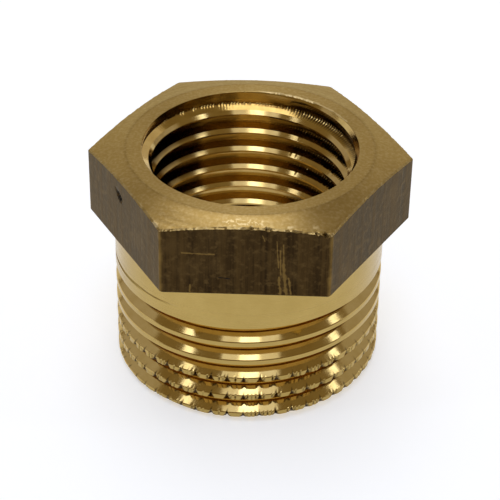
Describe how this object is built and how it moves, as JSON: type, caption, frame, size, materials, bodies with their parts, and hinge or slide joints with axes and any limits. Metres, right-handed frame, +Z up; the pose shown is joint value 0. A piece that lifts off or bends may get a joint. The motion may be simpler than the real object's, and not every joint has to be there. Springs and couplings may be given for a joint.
{
  "type": "hex reducing bushing",
  "caption": "Brass hex reducing bushing: a male parallel thread under a hexagon head, and a smaller female thread through its axis.",
  "frame": {"origin": "centre of the threaded end's face, on the axis, which is what the bushing stands on", "axes": "+Z up along the axis towards the hexagon's top, +X through a corner of the hexagon, +Y through a flat"},
  "size_m": [0.0196, 0.017, 0.0146],
  "materials": {
    "brass": "turned, with dull drawn flats on the hexagon"
  },
  "bodies": {
    "root": {"hex_bushing": "brass"}
  },
  "joints": []
}
